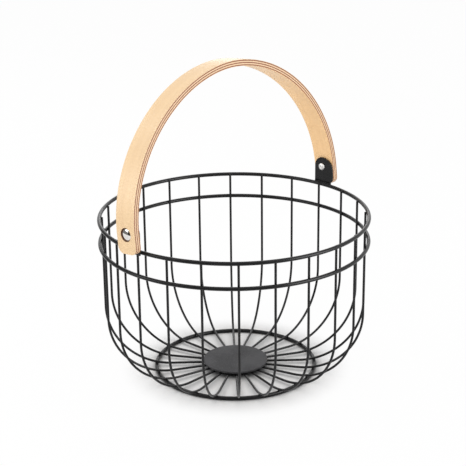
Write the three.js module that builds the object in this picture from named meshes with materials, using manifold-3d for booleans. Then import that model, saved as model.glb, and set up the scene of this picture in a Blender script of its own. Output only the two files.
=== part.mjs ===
// Wire fruit basket with a bent plywood carrying handle.
//
// Twenty-four round-wire ribs run down from the rim, bend under the bowl and meet beneath a flat
// disc. Two thicker rings hold them near the top and a third one is the foot. The handle turns on
// two pivots that stand on brackets above the rim.
//
// Millimetres, +Z up. The origin is on the basket's axis at the level it stands on, and the
// handle's hinge axis runs along X.

import * as THREE from 'three';
import { mergeVertices } from 'three/addons/utils/BufferGeometryUtils.js';
import Module from 'manifold-3d';

const wasm = await Module();
wasm.setup();

// Wires
const ringWire = 4;
const ribWire = 2.5;

// Rings
const rimOuterDiameter = 280.4;
const rimTopHeight = 171.2;
const secondRingDrop = 25.5;
const footRingDiameter = 168;

// Ribs
const ribCount = 24;
const ribBendRadius = 67.2;
const ribBelowRimTop = 1.6;
const ribEndDiameter = 44;

// Disc over the inner ends of the ribs
const discDiameter = 68;
const discThickness = 2;
const discEdgeRadius = 0.5;

// Pivots, on the hinge axis
const pivotAboveRim = 19;
const barrelDiameter = 6;
const capDiameter = 12.2;
const capEdge = 0.7;
const capDome = 1.9;
const screwShankDiameter = 3.8;
const screwHeadDiameter = 7.6;
const screwHeadHeight = 1.9;
const screwHeadEdge = 0.6;
const screwFaceDiameter = 4.6;
const screwRecessDiameter = 3;
const screwRecessDepth = 0.9;
const washerDiameter = 12;
const washerThickness = 0.5;

// Brackets, seen from their pivot: a short side rounded about it and a longer, flatter side
const bracketShortSide = 10;
const bracketLongSide = 14.2;
const bracketThickness = 2;
const bracketBelowRim = 2;
const bracketNotchWidth = 2.7;
const bracketNotchHeight = 7;

// Handle
const handleWidth = 25;
const handleThickness = 6.5;
const handleRise = 141;
const handleFoot = 19.3;
const handleFootRadius = 7.5;
const archExponent = 1.93;
const handleLean = 6;
const recessDiameter = 13.6;
const recessDepth = 2.8;

// Clearances
const weldGap = 0.3;
const fitGap = 0.3;

// Fineness of the round shapes
const wireSides = 8;
const ringSteps = 72;
const bendSteps = 12;
const archSteps = 48;
const turnedSteps = 24;
const domeSteps = 6;
const headRoundSteps = 3;

// Places that follow from the sizes above
const ringWireRadius = ringWire / 2;
const ribWireRadius = ribWire / 2;
const rimRadius = rimOuterDiameter / 2 - ringWireRadius;
const rimHeight = rimTopHeight - ringWireRadius;
const secondRingHeight = rimHeight - secondRingDrop;
const footRingRadius = footRingDiameter / 2;
const footRingHeight = ringWireRadius;
const pivotHeight = rimHeight + pivotAboveRim;

// The ribs stand inside the two upper rings and lie on the foot ring, which meets them where
// they still bend if it is wide enough.
const ribLegRadius = rimRadius - ringWireRadius - weldGap - ribWireRadius;
const bendCentreRadius = ribLegRadius - ribBendRadius;
const footReach = ribBendRadius + ribWireRadius + weldGap + ringWireRadius;
const footOffset = Math.max(0, footRingRadius - bendCentreRadius);
const bendCentreHeight = footRingHeight + Math.sqrt(footReach ** 2 - footOffset ** 2);
const spokeHeight = bendCentreHeight - ribBendRadius;
const ribTopHeight = rimTopHeight - ribBelowRimTop;
const discHeight = spokeHeight + ribWireRadius + weldGap;

// Distances from the basket's axis along the hinge, from the bracket outwards
const bracketInner = rimRadius + ringWireRadius + weldGap;
const bracketOuter = bracketInner + bracketThickness;
const washerInner = bracketOuter + fitGap;
const washerOuter = washerInner + washerThickness;
const handleInner = washerOuter + fitGap;
const handleOuter = handleInner + handleThickness;
const capSeat = handleOuter - recessDepth + fitGap;
const screwSeat = bracketInner - fitGap;

const shankHoleDiameter = screwShankDiameter + 2 * fitGap;
const barrelHoleDiameter = barrelDiameter + 2 * fitGap;

// Finishes
const blackCoat = new THREE.MeshStandardMaterial({ color: 0x242426, roughness: 0.5, metalness: 0.3 });
const greyCoat = new THREE.MeshStandardMaterial({ color: 0x4a4a4c, roughness: 0.7, metalness: 0.2 });
const plywood = new THREE.MeshStandardMaterial({ color: 0xf3cfa2, roughness: 0.55, metalness: 0 });
const polishedSteel = new THREE.MeshStandardMaterial({ color: 0xd8d8d8, roughness: 0.15, metalness: 1 });
const whitePlastic = new THREE.MeshStandardMaterial({ color: 0xe8e6e0, roughness: 0.6, metalness: 0 });

function toSolid(geometry) {
  const bare = geometry.clone();
  bare.deleteAttribute('normal');
  bare.deleteAttribute('uv');
  const merged = mergeVertices(bare, 1e-4);
  return new wasm.Manifold(new wasm.Mesh({
    numProp: 3,
    vertProperties: new Float32Array(merged.attributes.position.array),
    triVerts: new Uint32Array(merged.index.array),
  }));
}

function toGeometry(solid) {
  const mesh = solid.getMesh();
  const geometry = new THREE.BufferGeometry();
  geometry.setAttribute('position', new THREE.BufferAttribute(new Float32Array(mesh.vertProperties), 3));
  geometry.setIndex(new THREE.BufferAttribute(new Uint32Array(mesh.triVerts), 1));
  geometry.computeVertexNormals();
  return geometry;
}

function named(name, geometry, material) {
  const mesh = new THREE.Mesh(geometry, material);
  mesh.name = name;
  return mesh;
}

// Corners of a round wire's section, with the flats between them on the wire's surface
function wireCorners(diameter) {
  const cornerRadius = diameter / 2 / Math.cos(Math.PI / wireSides);
  return Array.from({ length: wireSides }, (_, i) => {
    const angle = (i + 0.5) * 2 * Math.PI / wireSides;
    return new THREE.Vector2(cornerRadius * Math.cos(angle), cornerRadius * Math.sin(angle));
  });
}

// A closed wire ring around the Z axis, centred on z = 0
function ringGeometry(radius) {
  const section = wireCorners(ringWire).map((corner) => corner.add(new THREE.Vector2(radius, 0)));
  const geometry = new THREE.LatheGeometry([...section, section[0]], ringSteps);
  return geometry.rotateX(Math.PI / 2);
}

// A turned piece around the X axis from points (distance along the axis, radius)
function turnedGeometry(outline) {
  const profile = outline.map(([along, radius]) => new THREE.Vector2(radius, along));
  return new THREE.LatheGeometry(profile, turnedSteps).rotateZ(-Math.PI / 2);
}

// A plate drawn in the Y-Z plane, from x = inner to x = outer
function plateGeometry(outline, inner, outer) {
  const depth = outer - inner;
  const geometry = new THREE.ExtrudeGeometry(outline, { depth, bevelEnabled: false, curveSegments: 10 });
  geometry.rotateX(Math.PI / 2);
  geometry.rotateZ(Math.PI / 2);
  return geometry.translate(inner, 0, 0);
}

// The middle line of one rib in the X-Z plane: leg, bend, spoke. Each straight is one step.
class RibRoute extends THREE.Curve {
  getPoint(t, target = new THREE.Vector3()) {
    const step = t * RibRoute.steps;
    if (step <= 1) {
      return target.set(ribLegRadius, 0, THREE.MathUtils.lerp(ribTopHeight, bendCentreHeight, step));
    }
    if (step >= 1 + bendSteps) {
      const end = ribEndDiameter / 2;
      return target.set(THREE.MathUtils.lerp(bendCentreRadius, end, step - 1 - bendSteps), 0, spokeHeight);
    }
    const angle = (step - 1) / bendSteps * Math.PI / 2;
    return target.set(
      bendCentreRadius + ribBendRadius * Math.cos(angle),
      0,
      bendCentreHeight - ribBendRadius * Math.sin(angle),
    );
  }

  // The steps lie where the bend needs them, not evenly along the length
  getUtoTmapping(u) {
    return u;
  }
}
RibRoute.steps = bendSteps + 2;

function ribGeometry() {
  const section = new THREE.Shape(wireCorners(ribWire));
  return new THREE.ExtrudeGeometry(section, { steps: RibRoute.steps, extrudePath: new RibRoute() });
}

function discGeometry() {
  const radius = discDiameter / 2;
  const inset = radius - discEdgeRadius;
  const profile = [
    new THREE.Vector2(0, 0),
    new THREE.Vector2(inset, 0),
    new THREE.Vector2(radius, discEdgeRadius),
    new THREE.Vector2(radius, discThickness - discEdgeRadius),
    new THREE.Vector2(inset, discThickness),
    new THREE.Vector2(0, discThickness),
  ];
  return new THREE.LatheGeometry(profile, ringSteps).rotateX(Math.PI / 2);
}

// The bracket's outline around its pivot hole. Both rounded sides meet level above the hole, and
// the foot is notched under the long side.
function bracketOutline() {
  const bottom = -pivotAboveRim - bracketBelowRim;
  const notchTop = bottom + bracketNotchHeight;
  const outline = new THREE.Shape();
  outline.moveTo(-bracketLongSide + bracketNotchWidth, bottom);
  outline.lineTo(bracketShortSide, bottom);
  outline.lineTo(bracketShortSide, 0);
  outline.absarc(0, 0, bracketShortSide, 0, Math.PI / 2, false);
  outline.absarc(0, bracketShortSide - bracketLongSide, bracketLongSide, Math.PI / 2, Math.PI, false);
  outline.lineTo(-bracketLongSide, notchTop);
  outline.lineTo(-bracketLongSide + bracketNotchWidth, notchTop - bracketNotchWidth);
  outline.closePath();
  const hole = new THREE.Path();
  hole.absarc(0, 0, shankHoleDiameter / 2, 0, 2 * Math.PI, true);
  outline.holes.push(hole);
  return outline;
}

// One face of the handle from leg end to leg end, in the X-Z plane around the pivot's height
function archLine(halfSpan, rise) {
  const power = 2 / archExponent;
  const points = [new THREE.Vector2(halfSpan, -handleFoot)];
  for (let i = 0; i <= archSteps; i++) {
    const angle = i / archSteps * Math.PI;
    const across = Math.sign(Math.cos(angle)) * Math.abs(Math.cos(angle)) ** power;
    const up = Math.sin(angle) ** power;
    points.push(new THREE.Vector2(halfSpan * across, rise * up));
  }
  points.push(new THREE.Vector2(-halfSpan, -handleFoot));
  return points;
}

// The handle's front view along X: a straight strip with rounded lower corners
function stripOutline() {
  const half = handleWidth / 2;
  const corner = half - handleFootRadius;
  const top = handleRise + handleThickness;
  const outline = new THREE.Shape();
  outline.moveTo(half, top);
  outline.lineTo(-half, top);
  outline.absarc(-corner, handleFootRadius - handleFoot, handleFootRadius, Math.PI, 1.5 * Math.PI, false);
  outline.absarc(corner, handleFootRadius - handleFoot, handleFootRadius, 1.5 * Math.PI, 2 * Math.PI, false);
  outline.closePath();
  return outline;
}

function handleGeometry() {
  const outside = archLine(handleOuter, handleRise);
  const inside = archLine(handleInner, handleRise - handleThickness);
  const side = new THREE.Shape([...outside, ...inside.reverse()]);
  const depth = 2 * handleWidth;
  const bent = new THREE.ExtrudeGeometry(side, { depth, bevelEnabled: false });
  bent.translate(0, 0, -handleWidth).rotateX(Math.PI / 2);
  const strip = plateGeometry(stripOutline(), -handleOuter - fitGap, handleOuter + fitGap);
  let solid = toSolid(bent).intersect(toSolid(strip));

  const beyond = handleOuter + fitGap;
  const bore = turnedGeometry([
    [-beyond, 0],
    [-beyond, barrelHoleDiameter / 2],
    [beyond, barrelHoleDiameter / 2],
    [beyond, 0],
  ]);
  solid = solid.subtract(toSolid(bore));
  const recess = turnedGeometry([
    [handleOuter - recessDepth, 0],
    [handleOuter - recessDepth, recessDiameter / 2],
    [beyond, recessDiameter / 2],
    [beyond, 0],
  ]);
  solid = solid.subtract(toSolid(recess));
  solid = solid.subtract(toSolid(recess.rotateZ(Math.PI)));
  return toGeometry(solid);
}

// Domed nut: its barrel is the pin that the handle turns on
function capNutGeometry() {
  const boreEnd = capSeat + fitGap;
  const headRadius = capDiameter / 2;
  const outline = [
    [boreEnd, 0],
    [boreEnd, shankHoleDiameter / 2],
    [washerInner, shankHoleDiameter / 2],
    [washerInner, barrelDiameter / 2],
    [capSeat, barrelDiameter / 2],
    [capSeat, headRadius],
  ];
  for (let i = 0; i <= domeSteps; i++) {
    const angle = i / domeSteps * Math.PI / 2;
    outline.push([capSeat + capEdge + capDome * Math.sin(angle), headRadius * Math.cos(angle)]);
  }
  outline[outline.length - 1][1] = 0;
  return turnedGeometry(outline);
}

// Pan-head screw: the head lies on the bracket's inner face, the shank is in the nut's barrel
function screwGeometry() {
  const headRadius = screwHeadDiameter / 2;
  const shankRadius = screwShankDiameter / 2;
  const recessRadius = screwRecessDiameter / 2;
  const faceRadius = screwFaceDiameter / 2;
  const face = screwSeat - screwHeadHeight;
  const outline = [
    [face + screwRecessDepth, 0],
    [face, recessRadius],
  ];
  for (let i = 0; i <= headRoundSteps; i++) {
    const angle = i / headRoundSteps * Math.PI / 2;
    outline.push([
      face + (screwHeadHeight - screwHeadEdge) * (1 - Math.cos(angle)),
      faceRadius + (headRadius - faceRadius) * Math.sin(angle),
    ]);
  }
  outline.push(
    [screwSeat, headRadius],
    [screwSeat, shankRadius],
    [capSeat - fitGap, shankRadius],
    [capSeat, 0],
  );
  return turnedGeometry(outline);
}

function washerGeometry() {
  const hole = barrelHoleDiameter / 2;
  return turnedGeometry([
    [washerInner, hole],
    [washerInner, washerDiameter / 2],
    [washerOuter, washerDiameter / 2],
    [washerOuter, hole],
    [washerInner, hole],
  ]);
}

function buildWires() {
  const wires = new THREE.Group();
  const rings = [
    ['rim_ring', rimRadius, rimHeight],
    ['second_ring', rimRadius, secondRingHeight],
    ['foot_ring', footRingRadius, footRingHeight],
  ];
  for (const [name, radius, height] of rings) {
    const ring = named(name, ringGeometry(radius), blackCoat);
    ring.position.z = height;
    wires.add(ring);
  }
  const shape = ribGeometry();
  for (let i = 0; i < ribCount; i++) {
    const rib = named(`rib_${String(i + 1).padStart(2, '0')}`, shape, blackCoat);
    rib.rotation.z = i / ribCount * 2 * Math.PI;
    wires.add(rib);
  }
  const disc = named('centre_disc', discGeometry(), greyCoat);
  disc.position.z = discHeight;
  wires.add(disc);
  return wires;
}

// The pieces of one pivot, drawn on the +X side and turned about Z for the other side
function buildPivot(side, turn) {
  const pivot = new THREE.Group();
  pivot.position.z = pivotHeight;
  pivot.rotation.z = turn;
  const plate = plateGeometry(bracketOutline(), bracketInner, bracketOuter);
  pivot.add(named(`bracket_${side}`, plate, blackCoat));
  pivot.add(named(`pivot_cap_nut_${side}`, capNutGeometry(), polishedSteel));
  pivot.add(named(`pivot_screw_${side}`, screwGeometry(), polishedSteel));
  pivot.add(named(`pivot_washer_${side}`, washerGeometry(), whitePlastic));
  return pivot;
}

function buildHandle() {
  const handle = named('handle_bow', handleGeometry(), plywood);
  handle.position.z = pivotHeight;
  handle.rotation.x = -THREE.MathUtils.degToRad(handleLean);
  return handle;
}

const basket = new THREE.Group();
basket.add(buildWires());
basket.add(buildPivot('right', 0));
basket.add(buildPivot('left', Math.PI));
basket.add(buildHandle());

export default basket;
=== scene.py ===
"""Looks of the wire fruit basket: fine wire, bent plywood, turned fittings and a pale studio.

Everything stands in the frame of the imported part, +Z up, with the hinge axis of the handle along X.
Sizes of the object are in millimetres and become metres through MM. The studio is in metres.
"""

import logging
import math
from dataclasses import dataclass
from enum import Enum
from typing import Iterable, Sequence

import bmesh
import bpy
from mathutils import Matrix, Vector


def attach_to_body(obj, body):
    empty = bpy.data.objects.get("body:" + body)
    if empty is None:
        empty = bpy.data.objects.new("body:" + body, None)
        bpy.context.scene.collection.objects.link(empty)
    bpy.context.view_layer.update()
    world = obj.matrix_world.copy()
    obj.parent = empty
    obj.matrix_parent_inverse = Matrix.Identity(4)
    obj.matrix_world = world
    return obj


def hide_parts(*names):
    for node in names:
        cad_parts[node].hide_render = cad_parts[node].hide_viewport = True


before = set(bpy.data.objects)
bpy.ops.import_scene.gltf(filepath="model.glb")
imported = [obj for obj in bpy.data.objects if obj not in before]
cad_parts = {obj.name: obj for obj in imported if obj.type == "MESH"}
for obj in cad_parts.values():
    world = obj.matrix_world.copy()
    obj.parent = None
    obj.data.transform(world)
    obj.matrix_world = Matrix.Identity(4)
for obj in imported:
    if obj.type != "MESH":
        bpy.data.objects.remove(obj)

MM = 0.001
IMAGE_SIDE = 466
STRIP_ATTRIBUTE = "strip"
PAINTED_RECESS_SHADE_ATTRIBUTE = "scorch"
ROUNDING_STEPS = 3
ON_AXIS = 1e-9
FULL_CIRCLE = 2 * math.pi
BLACK = (0.0, 0.0, 0.0)
WHITE = (1.0, 1.0, 1.0, 1.0)

Colour = tuple[float, float, float]
Pair = tuple[float, float]
Socket = bpy.types.NodeSocket
Outputs = bpy.types.bpy_prop_collection
Material = bpy.types.Material
Piece = bpy.types.Object
Shape = bmesh.types.BMesh
Loop = list[bmesh.types.BMVert]

log = logging.getLogger("fruit_basket")


class Body(Enum):
    """The two bodies that the joint turns against each other."""

    BASKET = "basket"
    HANDLE = "handle"


class Slot(Enum):
    """The record's material slots."""

    BLACK_COAT = "black_coat"
    GREY_COAT = "grey_coat"
    PLYWOOD = "plywood"
    POLISHED_STEEL = "polished_steel"
    BRIGHT_STEEL = "bright_steel"
    WASHER_PLASTIC = "washer_plastic"


class Side(Enum):
    """The two ends of the hinge axis, as the sign of X."""

    RIGHT = 1
    LEFT = -1

    @property
    def label(self) -> str:
        """The side's name as the nodes have it."""
        return self.name.lower()

    @property
    def angle(self) -> float:
        """The turn about Z that takes the right side's pieces to this side, in radians."""
        return 0.0 if self is Side.RIGHT else math.pi


class Axis(Enum):
    """The axis that a profile is turned around."""

    X = "X"
    Z = "Z"


class Kind(Enum):
    """The kinds of named sockets that start without a number."""

    VECTOR = "NodeSocketVector"
    MATERIAL = "NodeSocketMaterial"
    GEOMETRY = "NodeSocketGeometry"


def linear(red: float, green: float, blue: float) -> Colour:
    """Turn a colour as a screen shows it into the linear one that shaders use.

    Args:
        red: The red share, 0 to 255.
        green: The green share, 0 to 255.
        blue: The blue share, 0 to 255.

    Returns:
        The linear red, green and blue, 0 to 1.
    """
    shares = (channel / 255 for channel in (red, green, blue))
    return tuple(s / 12.92 if s <= 0.04045 else ((s + 0.055) / 1.055) ** 2.4 for s in shares)


def darker(colour: Colour, share: float) -> Colour:
    """The same colour with only a share of its light."""
    return tuple(channel * share for channel in colour)


class Sketch:
    """A node tree while it is drawn: adds nodes and sets or links their inputs.

    Inputs are named, or numbered where several inputs of a node have the same name.
    """

    mix_inputs = (0, 6, 7)
    mix_result = 2
    ramp_inputs = ("Value", "From Min", "From Max", "To Min", "To Max")

    def __init__(self, tree: bpy.types.NodeTree) -> None:
        """Start on a tree that may hold nodes already."""
        self.tree = tree

    def add(self, kind: str, inputs: dict | None = None, **settings: object) -> bpy.types.Node:
        """Add one node.

        Args:
            kind: Blender's name of the node's type.
            inputs: Values or sockets for its inputs, by the input's name or number.
            **settings: The node's own properties.

        Returns:
            The new node.
        """
        node = self.tree.nodes.new(kind)
        for key, value in settings.items():
            setattr(node, key, value)
        for key, value in (inputs or {}).items():
            self.feed(node.inputs[key], value)
        return node

    def out(self, kind: str, inputs: dict | None = None, **settings: object) -> Socket:
        """Add one node and return its first output."""
        return self.add(kind, inputs, **settings).outputs[0]

    def feed(self, socket: Socket, value: object) -> None:
        """Link a socket to an input, or set the input's own value.

        Args:
            socket: The input.
            value: The socket or the value that it takes.
        """
        if isinstance(value, Socket):
            self.tree.links.new(value, socket)
        else:
            socket.default_value = value

    def math(self, operation: str, *values: float | Socket, clamp: bool = False) -> Socket:
        """Add a Math node and return its result."""
        inputs = dict(enumerate(values))
        return self.out("ShaderNodeMath", inputs, operation=operation, use_clamp=clamp)

    def xyz(self, x: float | Socket, y: float | Socket, z: float | Socket) -> Socket:
        """Join three numbers into a vector."""
        return self.out("ShaderNodeCombineXYZ", {0: x, 1: y, 2: z})

    def mix_colour(
        self, factor: float | Socket, first: Colour | Socket, second: Colour | Socket
    ) -> Socket:
        """Mix two colours.

        Args:
            factor: The share of the second colour.
            first: A linear colour or a colour socket.
            second: A linear colour or a colour socket.

        Returns:
            The mixed colour.
        """
        colours = (c if isinstance(c, Socket) else (*c, 1.0) for c in (first, second))
        inputs = dict(zip(self.mix_inputs, (factor, *colours)))
        return self.add("ShaderNodeMix", inputs, data_type="RGBA").outputs[self.mix_result]

    def ramp(
        self, value: Socket, low: float, high: float, to_low: float = 0.0, to_high: float = 1.0
    ) -> Socket:
        """Map a range of a value smoothly onto another range.

        Args:
            value: What is mapped.
            low: Where the range starts.
            high: Where the range ends.
            to_low: The result at low and below.
            to_high: The result at high and above.

        Returns:
            The mapped value.
        """
        inputs = dict(zip(self.ramp_inputs, (value, low, high, to_low, to_high)))
        return self.out("ShaderNodeMapRange", inputs, interpolation_type="SMOOTHSTEP")

    def noise(
        self, vector: Socket, scale: float | Socket, detail: float = 2.0, roughness: float = 0.5
    ) -> Socket:
        """Add a noise texture and return its value."""
        inputs = {"Vector": vector, "Scale": scale, "Detail": detail, "Roughness": roughness}
        return self.out("ShaderNodeTexNoise", inputs)

    def object_place(self) -> Socket:
        """The point's place on the object, in metres."""
        return self.add("ShaderNodeTexCoord").outputs["Object"]


# Objects and meshes


def new_object(name: str, data: bpy.types.ID) -> Piece:
    """Make an object at the origin and put it into the scene.

    Args:
        name: The object's name.
        data: Its mesh, lamp or camera.

    Returns:
        The object.
    """
    made = bpy.data.objects.new(name, data)
    bpy.context.scene.collection.objects.link(made)
    return made


def evaluated_mesh(piece: Piece) -> bpy.types.Mesh:
    """The plain mesh that a piece's modifiers make of it."""
    evaluated = piece.evaluated_get(bpy.context.evaluated_depsgraph_get())
    return bpy.data.meshes.new_from_object(evaluated)


def mesh_piece(name: str, shape: Shape, material: Material) -> Piece:
    """Make a smooth-shaded piece from a shape in metres.

    Args:
        name: The piece's name.
        shape: The shape, which is used up.
        material: Its finish.

    Returns:
        The piece, at the origin.
    """
    mesh = bpy.data.meshes.new(name)
    shape.to_mesh(mesh)
    shape.free()
    mesh.shade_smooth()
    mesh.materials.append(material)
    return new_object(name, mesh)


def weigh_normals(piece: Piece) -> None:
    """Let the large faces set the shading, so that flats stay flat up to their rounded edges.

    Args:
        piece: The piece, which keeps the modifier.
    """
    modifier = piece.modifiers.new("weighted_normals", "WEIGHTED_NORMAL")
    modifier.mode = "FACE_AREA"
    modifier.keep_sharp = True


def attach(piece: Piece, body: Body, nodes: Iterable[str] = ()) -> None:
    """Let a piece ride on a body, and hide the CAD nodes that it replaces.

    Args:
        piece: The finished piece.
        body: The body that it moves with.
        nodes: The CAD nodes that it replaces.
    """
    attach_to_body(piece, body.value)
    names = tuple(nodes)
    if names:
        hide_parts(*names)
    log.info("%s: %d faces", piece.name, len(piece.data.polygons))


def arc(centre: Pair, radius: float, start: float, end: float, steps: int) -> list[Pair]:
    """Points of a round corner in a profile.

    Args:
        centre: The corner's centre.
        radius: The corner's radius.
        start: The first angle, in degrees.
        end: The last angle, in degrees.
        steps: How many steps lie between them.

    Returns:
        steps + 1 points.
    """
    angles = (math.radians(start + (end - start) * i / steps) for i in range(steps + 1))
    return [(centre[0] + radius * math.cos(a), centre[1] + radius * math.sin(a)) for a in angles]


def line(start: Pair, end: Pair, steps: int) -> list[Pair]:
    """Points in even steps from just after a start up to an end."""
    shares = (i / steps for i in range(1, steps + 1))
    return [tuple(a + (b - a) * share for a, b in zip(start, end)) for share in shares]


def turned(profile: Sequence[Pair], axis: Axis, steps: int) -> Shape:
    """Turn a closed profile around an axis.

    Args:
        profile: Points (along the axis, away from it) in millimetres. Both ends lie on the axis,
            or the first point is met again after the last.
        axis: The axis.
        steps: How many steps make the full turn.

    Returns:
        The closed shape in metres, with its faces outwards.
    """
    shape = bmesh.new()
    rings: list[Loop] = []
    for along, away in ((a * MM, b * MM) for a, b in profile):
        count = 1 if away < ON_AXIS else steps
        angles = (FULL_CIRCLE * i / steps for i in range(count))
        around = [(away * math.cos(a), away * math.sin(a)) for a in angles]
        places = [(along, *p) if axis is Axis.X else (*p, along) for p in around]
        rings.append([shape.verts.new(place) for place in places])
    for first, second in zip(rings, rings[1:]):
        bridge(shape, first, second)
    if len(rings[0]) > 1:
        bridge(shape, rings[-1], rings[0])
    bmesh.ops.recalc_face_normals(shape, faces=shape.faces)
    return shape


def bridge(shape: Shape, first: Loop, second: Loop) -> None:
    """Join two closed loops of vertices with faces.

    Args:
        shape: The shape that gets the faces.
        first: One loop. A loop of one vertex is a pole.
        second: The other loop, with as many vertices or one.
    """
    for i in range(max(len(first), len(second))):
        ends = [(loop[i % len(loop)], loop[(i + 1) % len(loop)]) for loop in (first, second)]
        corners = (*ends[0], *reversed(ends[1]))
        shape.faces.new(list(dict.fromkeys(corners)))


def round_edges(shape: Shape, edges: list[bmesh.types.BMEdge], size: float) -> None:
    """Round some edges of a shape.

    Args:
        shape: The shape.
        edges: Its edges.
        size: How far off the edge the rounding starts.
    """
    bmesh.ops.bevel(
        shape, geom=edges, offset=size, segments=ROUNDING_STEPS, profile=0.5, affect="EDGES",
        clamp_overlap=True,
    )


# Geometry trees


def open_tree(
    name: str, kind: str, inputs: dict[str, object], outputs: dict[str, object]
) -> Sketch:
    """Make an empty node group with its named sockets.

    Args:
        name: The group's name.
        kind: GeometryNodeTree or ShaderNodeTree.
        inputs: The inputs, in order, each with its kind or with the number that it starts at.
        outputs: The outputs, in the same way.

    Returns:
        A sketch on the new group, without nodes.
    """
    tree = bpy.data.node_groups.new(name, kind)
    for direction, items in (("INPUT", inputs), ("OUTPUT", outputs)):
        for label, start in items.items():
            if isinstance(start, Kind):
                tree.interface.new_socket(label, in_out=direction, socket_type=start.value)
                continue
            number = "NodeSocketInt" if isinstance(start, int) else "NodeSocketFloat"
            socket = tree.interface.new_socket(label, in_out=direction, socket_type=number)
            socket.default_value = start
    return Sketch(tree)


class GeometryTree:
    """A geometry tree that makes one shape, and the plain meshes taken from it."""

    name = "shape"
    sizes: dict[str, float] = {}

    def __init__(self) -> None:
        """Draw the tree: its sizes, its shape, and the steps that every tree ends in."""
        inputs = self.sizes | {"Material": Kind.MATERIAL}
        self.sketch = open_tree(self.name, "GeometryNodeTree", inputs, {"Geometry": Kind.GEOMETRY})
        self.given = self.sketch.add("NodeGroupInput").outputs
        realised = self.sketch.out("GeometryNodeRealizeInstances", {0: self.shape()})
        shading = {"Geometry": realised, "Shade Smooth": True}
        smooth = self.sketch.out("GeometryNodeSetShadeSmooth", shading)
        dressed = {"Geometry": smooth, "Material": self.given["Material"]}
        self.sketch.add("NodeGroupOutput", {0: self.sketch.out("GeometryNodeSetMaterial", dressed)})

    def shape(self) -> Socket:
        """Draw the nodes of the shape and return its geometry."""
        raise NotImplementedError

    def piece(
        self, name: str, material: Material, lengths: dict[str, float], numbers: dict[str, float]
    ) -> Piece:
        """Run the tree once and keep the result as a plain mesh.

        Args:
            name: The piece's name.
            material: The finish of the whole piece.
            lengths: Lengths in millimetres, by the names of the tree's inputs.
            numbers: Counts, angles and shares, in the same way.

        Returns:
            The piece, at the origin, without modifiers.
        """
        values = {key: length * MM for key, length in lengths.items()} | numbers
        host = new_object(f"{name}_host", bpy.data.meshes.new(f"{name}_host"))
        modifier = host.modifiers.new(self.name, "NODES")
        modifier.node_group = self.sketch.tree
        items = self.sketch.tree.interface.items_tree
        identifiers = {item.name: item.identifier for item in items if item.in_out == "INPUT"}
        for key, value in (values | {"Material": material}).items():
            modifier[identifiers[key]] = value
        mesh = evaluated_mesh(host)
        mesh.name = name
        bpy.data.objects.remove(host)
        return new_object(name, mesh)


class RingTree(GeometryTree):
    """A closed round wire ring around Z."""

    name = "wire_ring"
    sizes = {"Ring Radius": 0.1, "Wire Radius": 0.002, "Height": 0.0, "Steps": 240, "Sides": 20}

    def shape(self) -> Socket:
        """Sweep a circle around a circle and lift it.

        Returns:
            The ring.
        """
        sketch, given = self.sketch, self.given
        route = {"Resolution": given["Steps"], "Radius": given["Ring Radius"]}
        section = {"Resolution": given["Sides"], "Radius": given["Wire Radius"]}
        circle = sketch.out("GeometryNodeCurvePrimitiveCircle", route)
        profile = sketch.out("GeometryNodeCurvePrimitiveCircle", section)
        lift = sketch.xyz(0.0, 0.0, given["Height"])
        lifted = sketch.out("GeometryNodeSetPosition", {"Geometry": circle, "Offset": lift})
        swept = {"Curve": lifted, "Profile Curve": profile}
        return sketch.out("GeometryNodeCurveToMesh", swept)


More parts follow.
